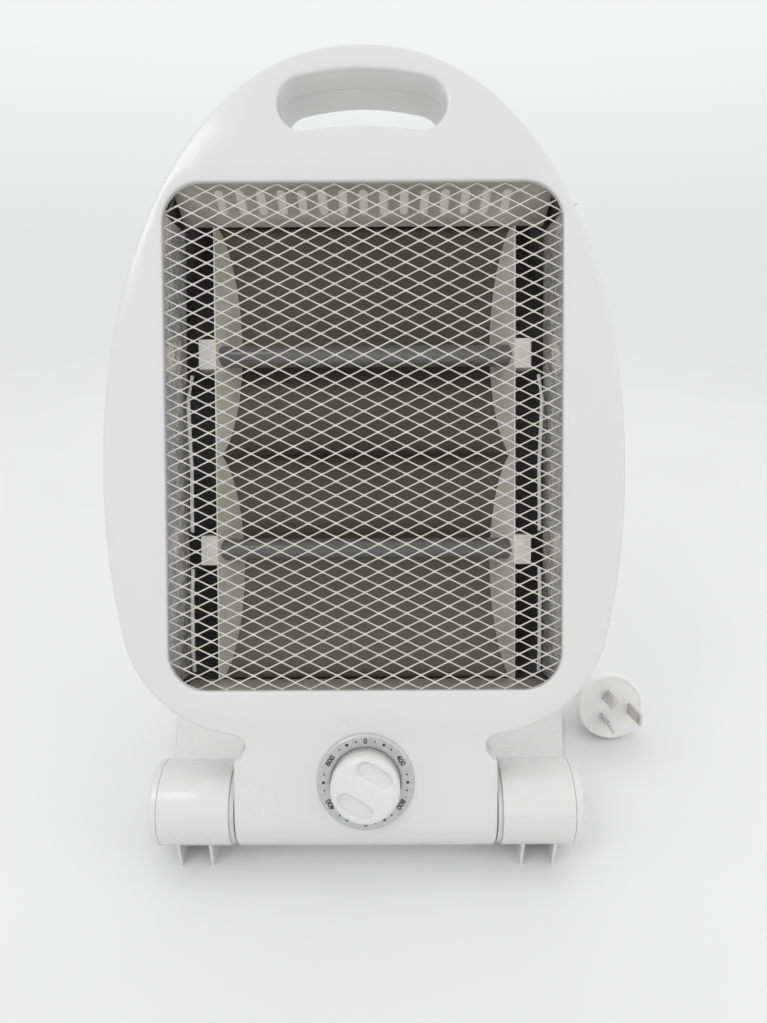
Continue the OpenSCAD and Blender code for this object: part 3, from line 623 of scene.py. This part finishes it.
def rearShell():
    bm = bmesh.new()
    bottom = 8.5    # the rear of the neck ends here
    outline = bodyOutline(bottom)
    rings = [layer(offsetLoop(outline, inset, False), depth) for depth, inset in
             ((partDepth, 0.4), (partDepth + 0.15, 0.1), (partDepth + 0.45, 0), (2, 0), (8, 0), (11, 0.3),
              (13.2, 1.1), (14.9, 2.3), (16.1, 3.7), (16.8, 5.2), (17, 6.6))]
    skirt = loft(bm, rings, closed=False)
    # The tub as (depth, inset, height of its top)
    bulge = [(17, 8.8, 294), (17.3, 9.2, 293.5), (18.2, 10.0, 292.4), (20, 11.2, 290.6), (24, 13.2, 288),
             (28, 15.6, 285.6), (31.5, 18.4, 282.8), (34.5, 21.8, 279.4), (37, 26, 275.2), (38.8, 31, 270),
             (39.7, 34.4, 266.4), (40, 38, 262.6)]
    loops = []
    for depth, inset, top in bulge:
        side = limited(eggSide(inset, top + inset, 4), eggSide(9.4 + 0.25 * (depth - 17)))
        loops.append(layer(mirrored([(0, side[0][1])] + side), depth))
    made = loft(bm, loops)
    hole = loft(bm, [layer(offsetLoop(handleHole(), grow), depth) for depth, grow in
                     ((17, -1.6), (16.85, -0.95), (16.45, -0.4), (15.8, -0.1), (15, 0), (8, 0),
                      (2, 0), (partDepth, 0))])
    fillBetween(bm, [skirt[-1], made[0], hole[0]])
    slots = []
    v = ventSizes
    for z, half in v["rows"].items():
        for s in (-1, 1):
            ends = roundedBox(2 * half + v["width"], z - v["width"] / 2, z + v["width"] / 2, v["corner"], 5)
            ends = [(x + s * v["x"], up) for x, up in ends]
            slots.append(loft(bm, [layer(offsetLoop(ends, grow), depth) for depth, grow in
                                   ((40, -0.35), (39.8, -0.1), (39.5, 0), (37.6, 0))])[0])
    wells = []
    w = wellSizes
    for x in (-w["x"], w["x"]):
        for z in w["heights"]:
            ring = [(x + a, z + u) for a, u in circleOf(w["radius"], 24)]
            wells.append(loft(bm, [layer(offsetLoop(ring, grow), depth) for depth, grow in
                                   ((40, -0.3), (39.85, -0.08), (39.6, 0), (38.6, 0), (38.6, 1.5))])[0])
    fillBetween(bm, [made[-1]] + slots + wells)
    turnEnd = pi + asin(bottom / barrelRadius)
    loft(bm, barrelRings(acos(-partDepth / barrelRadius), turnEnd, 40), closed=False)
    return walled(fromBmesh("rearShell", bm, shellWhite, 40))


def pocketFloor():    # the moulding's own wall above the slotted flange, seen through the slots, painted paler than the shells' white as painted light
    bm = bmesh.new()
    section = ((-14, 280.75), (10.5, 270.85), (10.5, 272.05), (-14, 281.95))    # (depth, up)
    made = loft(bm, [[onBody(x, depth, z) for depth, z in section] for x in (-76, -38, 0, 38, 76)])
    bm.faces.new(made[0])
    bm.faces.new(made[-1])
    return fromBmesh("pocketFloor", bm, paintedLightSlotBack)


settle(pocketFloor(), "heater_body", "white_plastic")
settle(frontShell(), "heater_body", "white_plastic", "front_shell")
settle(rearShell(), "heater_body", "white_plastic", "rear_shell")


# Geometry nodes

# Puts flat work, drawn in XY with its face towards +Z, onto the front of the body
def bodyMatrix(depth, up, turn=0.0):
    place = Matrix.Translation(onBody(0, depth, up))
    axes = Matrix(((1, 0, 0), (0, sin(lean), -cos(lean)), (0, cos(lean), sin(lean)))).to_4x4()
    return place @ axes @ Matrix.Rotation(turn, 4, "Z")


class Tree:    # a geometry node tree with named inputs
    def __init__(self, name, inputs):
        self.group = bpy.data.node_groups.new(name, "GeometryNodeTree")
        self.group.interface.new_socket("Geometry", in_out="OUTPUT", socket_type="NodeSocketGeometry")
        self.values = {}
        for label, (kind, value) in inputs.items():
            socket = self.group.interface.new_socket(label, in_out="INPUT", socket_type="NodeSocket" + kind)
            self.values[label] = (socket.identifier, value)
        self.start = self.group.nodes.new("NodeGroupInput")
        self.stop = self.group.nodes.new("NodeGroupOutput")

    def add(self, kind, settings=None, **links):
        node = self.group.nodes.new(kind)
        for key, value in (settings or {}).items():
            setattr(node, key, value)
        for key, value in links.items():    # i0, i1 and so on count sockets, and other names are labels
            byNumber = key[0] == "i" and key[1:].isdigit()
            socket = node.inputs[int(key[1:]) if byNumber else key.replace("_", " ")]
            if isinstance(value, bpy.types.NodeSocket):
                self.group.links.new(value, socket)
            else:
                socket.default_value = value
        return node

    def math(self, operation, a, b=0.0):
        return self.add("ShaderNodeMath", {"operation": operation}, i0=a, i1=b).outputs[0]

    def input(self, label):
        return self.start.outputs[label]

    def build(self, name, result, material, matrix, smoothAngle=50):
        whole = self.add("GeometryNodeRealizeInstances", Geometry=result)
        paint = self.add("GeometryNodeSetMaterial", Geometry=whole.outputs[0], Material=material)
        self.group.links.new(paint.outputs[0], self.stop.inputs[0])
        holder = placed(name, bpy.data.meshes.new(name))
        modifier = holder.modifiers.new("nodes", "NODES")
        modifier.node_group = self.group
        for identifier, value in self.values.values():
            modifier[identifier] = value
        piece = applied(holder)
        piece.data.transform(matrix)
        dressed(piece.data, material, smoothAngle)
        return piece


grilleSizes = {"columns": 14, "rows": 36, "strand": 0.57, "node": 0.88, "end": 0.5, "thick": 0.55,
               "depth": -15.7, "past": 1.5}


def strandPair():    # two strands of expanded mesh that leave one crossing, upwards and downwards
    g = grilleSizes
    across = opening["width"] / g["columns"] / 2 * mm
    along = (opening["high"] - opening["low"]) / g["rows"] / 2 * mm
    bm = bmesh.new()
    for sign in (1, -1):
        rings = []
        for t, width in ((-0.05, g["end"]), (0.06, g["node"]), (0.16, g["strand"]), (0.84, g["strand"]),
                         (0.94, g["node"]), (1.05, g["end"])):
            heading = Vector((across, along * sign, 0)).normalized()
            side = Vector((-heading.y, heading.x, 0))
            middle = Vector((across * t, along * sign * t, 0))
            w, h = width * mm / 2, g["thick"] * mm / 2
            lift = Vector((0, 0, sign * 0.12 * mm * (2 * t - 1)))
            rings.append([middle + lift + side * (w * a) + Vector((0, 0, h * b)) for a, b in
                          ((-1, -0.6), (-0.6, -1), (0.6, -1), (1, -0.6), (1, 0.6), (0.6, 1), (-0.6, 1),
                           (-1, 0.6))])
        made = loft(bm, rings)
        bm.faces.new(made[0])
        bm.faces.new(made[-1])
    return fromBmesh("strandPair", bm, grillePaint, 60)


def grille():
    g = grilleSizes
    unit = strandPair()
    tree = Tree("diamondMesh", {
        "Width": ("Float", opening["width"] * mm),
        "Height": ("Float", (opening["high"] - opening["low"]) * mm),
        "Corner": ("Float", opening["round"] * mm),
        "Columns": ("Int", g["columns"]), "Rows": ("Int", g["rows"]),
        "Strands": ("Object", unit)})
    countX = tree.math("ADD", tree.math("MULTIPLY", tree.input("Columns"), 2.0), 1.0)
    countY = tree.math("ADD", tree.math("MULTIPLY", tree.input("Rows"), 2.0), 1.0)
    grid = tree.add("GeometryNodeMeshGrid", i0=tree.input("Width"), i1=tree.input("Height"),
                    i2=countX, i3=countY)
    odd = tree.math("MODULO", tree.add("GeometryNodeInputIndex").outputs[0], 2.0)
    split = tree.add("ShaderNodeSeparateXYZ", i0=tree.add("GeometryNodeInputPosition").outputs[0])
    reach = []
    for axis, size in ((0, "Width"), (1, "Height")):
        half = tree.math("SUBTRACT", tree.math("MULTIPLY", tree.input(size), 0.5), tree.input("Corner"))
        away = tree.math("SUBTRACT", tree.math("ABSOLUTE", split.outputs[axis]), half)
        reach.append(tree.math("POWER", tree.math("MAXIMUM", away, 0.0), 2.0))
    outside = tree.math("GREATER_THAN", tree.math("SQRT", tree.math("ADD", *reach)),
                        tree.math("ADD", tree.input("Corner"), g["past"] * mm))
    drop = tree.math("GREATER_THAN", tree.math("ADD", odd, outside), 0.5)
    kept = tree.add("GeometryNodeDeleteGeometry", {"domain": "POINT"}, Geometry=grid.outputs[0],
                    Selection=drop)
    info = tree.add("GeometryNodeObjectInfo", Object=tree.input("Strands"))
    spread = tree.add("GeometryNodeInstanceOnPoints", Points=kept.outputs[0],
                      Instance=info.outputs["Geometry"])
    middle = (opening["low"] + opening["high"]) / 2
    piece = tree.build("grilleMesh", spread.outputs[0], grillePaint, bodyMatrix(g["depth"], middle), 60)
    bpy.data.objects.remove(unit)
    return settle(piece, "heater_body", "grille_paint", "grille_mesh")


grille()

tubeSizes = {"depth": 16, "levels": {"upper": 210, "lower": 117}, "half": 76, "radius": 5.2, "coil": 2.6,
             "wire": 0.28, "turns": 96, "coilHalf": 71}


def heatingCoil(which, level):
    t = tubeSizes
    tree = Tree("woundWire", {"Turns": ("Float", float(t["turns"])), "Radius": ("Float", t["coil"] * mm),
                              "Length": ("Float", 2 * t["coilHalf"] * mm), "Wire": ("Float", t["wire"] * mm)})
    spiral = tree.add("GeometryNodeCurveSpiral", Resolution=14, Rotations=tree.input("Turns"),
                      Start_Radius=tree.input("Radius"), End_Radius=tree.input("Radius"),
                      Height=tree.input("Length"))
    section = tree.add("GeometryNodeCurvePrimitiveCircle", {"mode": "RADIUS"}, Resolution=5,
                       Radius=tree.input("Wire"))
    wound = tree.add("GeometryNodeCurveToMesh", Curve=spiral.outputs[0], Profile_Curve=section.outputs[0],
                     Fill_Caps=True)
    matrix = (Matrix.Translation(onBody(-t["coilHalf"], t["depth"], level))
              @ Matrix.Rotation(pi / 2, 4, "Y"))
    piece = tree.build("heatingCoil_" + which, wound.outputs[0], wireSteel, matrix)
    return settle(piece, "heater_body", "heating_wire", "heating_coil_" + which)


def quartzTube(which, level):    # hollow tube with eased rims, which end inside the ceramic caps
    radius, half = tubeSizes["radius"], tubeSizes["half"]
    outer = [(radius - 0.7, -half), (radius - 0.25, -half + 0.4), (radius, -half + 1)]
    outer += [(r, -z) for r, z in reversed(outer)]
    inner = [(radius - 1, half), (radius - 1, 0), (radius - 1, -half)]
    bm = bmesh.new()
    lathe(bm, outer + inner + outer[:1],
          lambda a, u, along: onBody(along, tubeSizes["depth"] + a, level + u), 48)
    cleaned(bm)
    piece = fromBmesh("quartzTube_" + which, bm, quartz, 50)
    return settle(piece, "heater_body", "quartz", "quartz_tube_" + which)


def inwards(piece):    # the tube's end pieces sit a little further in than in the frame
    for vertex in piece.data.vertices:
        vertex.co.x -= copysign(3.2 * mm, vertex.co.x)


for which, level in tubeSizes["levels"].items():
    heatingCoil(which, level)
    quartzTube(which, level)
    for side in ("left", "right"):
        inwards(softened(f"ceramic_cap_{which}_{side}", f"ceramicCap_{which}_{side}", ceramicWhite,
                         "heater_body", "ceramic", 0.9, 3))
inwards(softened("cap_screws", "capScrews", screwSteel, "heater_body", "steel", 0.25))

trough = {"front": 12, "deep": 18, "power": 1.4, "top": 269.5, "ridge": 162.5, "bottom": 55, "half": 70.4,
          "taper": 7.4, "endFront": 9, "sheet": 0.8, "endGap": 0.1, "endSheet": 0.6}


def troughLine():    # (depth, up) from the upper lip over the ridge to the lower lip
    line = []
    for top, low in ((trough["top"], trough["ridge"]), (trough["ridge"], trough["bottom"])):
        for i in range(49):
            t = pi * (0.5 - 0.5 * cos(pi * i / 48))    # closer points near the lips
            line.append((trough["front"] + trough["deep"] * max(sin(t), 0) ** trough["power"],
                         (top + low) / 2 + (top - low) / 2 * cos(t)))
    return line


def halfWidth(depth):    # the ends close in towards the back
    return trough["half"] - trough["taper"] * (depth - trough["endFront"]) / trough["deep"]


def reflectorSheet():    # two curved troughs that meet in a ridge
    line = troughLine()
    bm = bmesh.new()
    section = line + [(depth + trough["sheet"], z) for depth, z in reversed(line)]
    count = 24
    rings = [[onBody((2 * k / count - 1) * halfWidth(depth), depth, z) for depth, z in section]
             for k in range(count + 1)]
    made = loft(bm, rings)
    for ring in (made[0], made[-1]):
        n = len(ring)
        for i in range(n // 2 - 1):
            bm.faces.new((ring[i], ring[i + 1], ring[n - 2 - i], ring[n - 1 - i]))
    piece = fromBmesh("reflectorSheet", bm, troughPaintedReflection, 30)
    settle(piece, "heater_body", "mirror_sheet", "reflector")


def troughEnd(side, name):    # slanted end sheet from a straight front edge to the curve of the troughs
    rings = []
    for depth, z in troughLine():
        near = trough["endGap"]
        far = near + trough["endSheet"]
        places = [(trough["endFront"], near), (depth, near), (depth, far), (trough["endFront"], far)]
        rings.append([onBody(side * (halfWidth(d) + out), d, z) for d, out in places])
    bm = bmesh.new()
    made = loft(bm, rings)
    bm.faces.new(made[0])
    bm.faces.new(made[-1])
    settle(fromBmesh("troughEnd_" + name, bm, endSheet, 30), "heater_body", "mirror_sheet",
           "trough_end_" + name)


reflectorSheet()
for side, name in ((-1, "left"), (1, "right")):
    troughEnd(side, name)
for side, name in (("left", "sideLinerLeft"), ("right", "sideLinerRight")):
    softened("side_plate_" + side, name, linerSheet, "heater_body", "mirror_sheet", 0.2)
flangeReach = {"from": 77, "by": 6}
topFlange = softened("top_flange", "slottedTopFlange", slotSheet, "heater_body", "mirror_sheet", 0.15)
for vertex in topFlange.data.vertices:    # its ends reach the side liners
    if abs(vertex.co.x) > flangeReach["from"] * mm:
        vertex.co.x += copysign(flangeReach["by"] * mm, vertex.co.x)
softened("bottom_flange", "bottomFlange", slotSheet, "heater_body", "mirror_sheet", 0.15)
softened("grille_rim", "grilleRim", grillePaint, "heater_body", "grille_paint", 0.2)

knobSizes = {"radius": 15.2, "height": 11.4, "round": 3.0, "turn": radians(-32), "gap": 0.45, "level": 16.8,
             "ovalOut": 8.2, "ovalHalf": 4.9, "ovalRound": 3.8, "ovalDeep": 2.2}


def knobHeight(x, y):    # a slight crown with two oval finger dips
    k = knobSizes
    r = sqrt(x * x + y * y)
    height = k["height"] - 0.25 * (r / 12) ** 2
    for s in (-1, 1):
        along = max(abs(x) - k["ovalHalf"], 0)
        away = sqrt(along ** 2 + (y - s * k["ovalOut"]) ** 2) / k["ovalRound"]
        if away < 1.12:
            u = min(max((1.12 - away) / 0.5, 0), 1)
            height -= k["ovalDeep"] * u * u * (3 - 2 * u)
    return height


def knob():
    k = knobSizes
    sides, steps = 168, 46
    flat = k["radius"] - k["round"]
    rings = []
    for i in range(steps + 1):
        r = flat * i / steps
        rings.append([Vector((x, y, knobHeight(x, y))) * mm for x, y in circleOf(r, sides)])
    edge = k["height"] - 0.25 * (flat / 12) ** 2
    for i in range(1, 9):
        a = pi / 2 * (1 - i / 8)
        r, up = flat + k["round"] * cos(a), edge - k["round"] + k["round"] * sin(a)
        ease = max(1 - i / 5, 0)
        rings.append([])
        for x, y in circleOf(r, sides):    # where a dip reaches the edge, the edge sinks with it
            dip = knobHeight(x, y) - k["height"]
            sunk = (dip + 0.4) * 0.5 * ease if dip < -0.8 else 0
            rings[-1].append(Vector((x, y, up + sunk)) * mm)
    for r, up in ((k["radius"], 6), (k["radius"], 0.5), (k["radius"] - 0.5, 0), (0, 0)):
        rings.append([Vector((x, y, up)) * mm for x, y in circleOf(r, sides)])
    bm = bmesh.new()
    loft(bm, rings)
    cleaned(bm)
    piece = fromBmesh("knob", bm, knobWhite, 60)
    piece.data.transform(bodyMatrix(frontFace - k["gap"], k["level"], k["turn"]))
    return settle(piece, "knob", "white_plastic", "knob")


# The ring's section is (radius, height), marks are angles in degrees, and numbers are (text, angle)
dialSizes = {"section": [(15.6, 0.05), (21.3, 0.05), (21.5, 0.25), (21.5, 0.8), (21.3, 1.1), (20.9, 1.4),
                         (20.5, 1.55), (20.1, 1.5), (17.0, 1.3), (16.3, 1.3), (15.8, 1.15), (15.6, 0.9),
                         (15.6, 0.05)],
             "marks": 18.6, "markFace": 1.42, "ink": 0.06, "large": 0.68, "small": 0.4,
             "largeAngles": (26, 90, 154, -26, -90, -154),
             "smallAngles": (13, 38, 79, 101, 142, 167, -13, -38, -79, -101, -142, -167),
             "numbers": 18.35, "numberFace": 1.49, "numberHeight": 3.3, "numberBold": 0.07,
             "labels": (("0", 0), ("400", -58), ("800", -122), ("0", 180), ("400", 122), ("800", 58))}


def dialRing():
    matrix = bodyMatrix(frontFace, knobSizes["level"])
    ring = latheObject("dialRing", dialSizes["section"],
                       lambda a, u, along: matrix @ Vector((a * mm, u * mm, along * mm)), dialSilver, 128, 30)
    settle(ring, "heater_body", "silver_plastic", "dial_ring")


def dialDots(name, radius, angles):    # keeps the wanted points of a circle of 360 and puts a dot on each
    d = dialSizes
    tree = Tree(name, {"Radius": ("Float", d["marks"] * mm), "Dot": ("Float", radius * mm)})
    circle = tree.add("GeometryNodeMeshCircle", Vertices=360, Radius=tree.input("Radius"))
    index = tree.add("GeometryNodeInputIndex").outputs[0]
    wanted = None
    for angle in angles:
        here = tree.math("COMPARE", index, float((angle + 360) % 360))
        wanted = here if wanted is None else tree.math("ADD", wanted, here)
    dropped = tree.math("LESS_THAN", wanted, 0.5)
    kept = tree.add("GeometryNodeDeleteGeometry", {"domain": "POINT"}, Geometry=circle.outputs[0],
                    Selection=dropped)
    dot = tree.add("GeometryNodeMeshCylinder", Vertices=14, Radius=tree.input("Dot"), Depth=d["ink"] * mm)
    spread = tree.add("GeometryNodeInstanceOnPoints", Points=kept.outputs[0], Instance=dot.outputs[0])
    matrix = bodyMatrix(frontFace - d["markFace"], knobSizes["level"], pi / 2)
    settle(tree.build(name, spread.outputs[0], dialInk, matrix), "heater_body", "dark_plastic")


def dialNumber(name, label, angle):
    d = dialSizes
    curve = bpy.data.curves.new("dialNumber", "FONT")
    curve.body = label
    curve.size = d["numberHeight"] * mm
    curve.offset = d["numberBold"] * mm
    curve.extrude = d["ink"] * mm / 2
    curve.align_x = "CENTER"
    curve.align_y = "CENTER"
    holder = placed(name, curve)
    mesh = baked(holder)
    bpy.data.objects.remove(holder)
    matrix = bodyMatrix(frontFace - d["numberFace"], knobSizes["level"], radians(angle))
    mesh.transform(matrix @ Matrix.Translation((0, d["numbers"] * mm, 0)))
    settle(addObject(name, mesh, dialInk), "heater_body", "dark_plastic")


knob()
dialRing()
dialDots("dialDotsLarge", dialSizes["large"], dialSizes["largeAngles"])
dialDots("dialDotsSmall", dialSizes["small"], dialSizes["smallAngles"])
for i, (label, angle) in enumerate(dialSizes["labels"]):
    dialNumber(f"dialNumber_{i}", label, angle)

softened("stand_frame", "standFrame", standWhite, "stand", "white_plastic", 0.7, 3, 32)
for side in ("left", "right"):
    softened("knuckle_cap_" + side, "knuckleCap_" + side, standWhite, "stand", "white_plastic", 0)
    softened("hinge_collar_" + side, "hingeCollar_" + side, collarGrey, "stand", "grey_plastic", 0.2)
softened("rubber_feet", "rubberFeet", footRubber, "stand", "rubber", 0.5)
softened("case_screws", "caseScrews", screwSteel, "heater_body", "steel", 0.4)
softened("reflector_screws", "reflectorScrews", screwSteel, "heater_body", "steel", 0.3)

# Inner pieces keep the frame's shape and only get their materials here
innerFinishes = {screwSteel: ["reflector_posts", "thermal_cutout", "switch_nut", "switch_shaft", "hinge_nuts",
                              "spring_washers", "hinge_pin_left", "hinge_pin_right"],
                 ceramicWhite: ["terminal_block"], switchDark: ["tip_over_switch", "rotary_switch"],
                 collarGrey: ["barrel_bearing_left", "barrel_bearing_right", "lead_clips"],
                 leadWhite: ["stand_lead", "tube_leads"]}
for material, nodes in innerFinishes.items():
    for node in nodes:
        painted(bpy.data.objects[node].data, material)


# Floor and light
floorSizes = {"radius": 14, "fadeFrom": 0.5, "fadeTo": 3.5}
horizon = (0.775, 0.778, 0.782)
skyColours = ((0, horizon), (0.22, (0.9, 0.905, 0.91)), (1, (1, 1, 1)))    # by height
lamps = {"keyLight": {"place": (-0.7, -0.9, 1.3), "size": 0.5, "power": 3.2, "toward": (0, 0, 0.15)},
         "fillLight": {"place": (1.1, -0.7, 0.9), "size": 1.0, "power": 1.5, "toward": (0, 0, 0.15)},
         "topLight": {"place": (0.1, 0.5, 1.7), "size": 1.4, "power": 2, "toward": (0, 0, 0.1)}}


def floorMaterial():    # far away the floor takes the colour of the horizon
    pale = finish("paleFloor", (0.77, 0.77, 0.77), (0.8, 0.8, 0.8), (0.6, 0.75), scale=3,
                  bumps=((300, 0.05, 0.0003),))
    tree = pale.node_tree
    place = tree.nodes.new("ShaderNodeTexCoord")
    length = tree.nodes.new("ShaderNodeVectorMath")
    length.operation = "LENGTH"
    tree.links.new(place.outputs["Object"], length.inputs[0])
    fade = tree.nodes.new("ShaderNodeMapRange")
    fade.interpolation_type = "SMOOTHSTEP"
    fade.inputs["From Min"].default_value = floorSizes["fadeFrom"]
    fade.inputs["From Max"].default_value = floorSizes["fadeTo"]
    tree.links.new(length.outputs["Value"], fade.inputs["Value"])
    glow = tree.nodes.new("ShaderNodeEmission")
    glow.inputs["Color"].default_value = (*horizon, 1)
    both = tree.nodes.new("ShaderNodeMixShader")
    tree.links.new(fade.outputs["Result"], both.inputs[0])
    tree.links.new(tree.nodes["Principled BSDF"].outputs[0], both.inputs[1])
    tree.links.new(glow.outputs[0], both.inputs[2])
    tree.links.new(both.outputs[0], tree.nodes["Material Output"].inputs["Surface"])
    return pale


def floorDisc():
    bm = bmesh.new()
    bmesh.ops.create_circle(bm, cap_ends=True, segments=128, radius=floorSizes["radius"])
    addObject("floor", meshOf("floor", bm), floorMaterial())


def sky():    # paler upwards
    world = bpy.context.scene.world or bpy.data.worlds.new("world")
    bpy.context.scene.world = world
    world.use_nodes = True
    tree = world.node_tree
    around = tree.nodes.new("ShaderNodeTexCoord")
    parts = tree.nodes.new("ShaderNodeSeparateXYZ")
    tree.links.new(around.outputs["Generated"], parts.inputs[0])
    ramp = tree.nodes.new("ShaderNodeValToRGB")
    stops = ramp.color_ramp.elements
    while len(stops) < len(skyColours):
        stops.new(1)
    for stop, (position, colour) in zip(stops, skyColours):
        stop.position = position
        stop.color = (*colour, 1)
    tree.links.new(parts.outputs["Z"], ramp.inputs["Fac"])
    tree.links.new(ramp.outputs["Color"], tree.nodes["Background"].inputs["Color"])
    tree.nodes["Background"].inputs["Strength"].default_value = 1


def softLight(name, place, size, power, toward):
    lamp = bpy.data.lights.new(name, "AREA")
    lamp.shape = "DISK"
    lamp.size = size
    lamp.energy = power
    item = placed(name, lamp)
    item.location = place
    item.rotation_euler = (Vector(toward) - Vector(place)).to_track_quat("-Z", "Y").to_euler()


floorDisc()
sky()
for name, values in lamps.items():
    softLight(name, **values)
bpy.context.scene.view_settings.view_transform = "Standard"
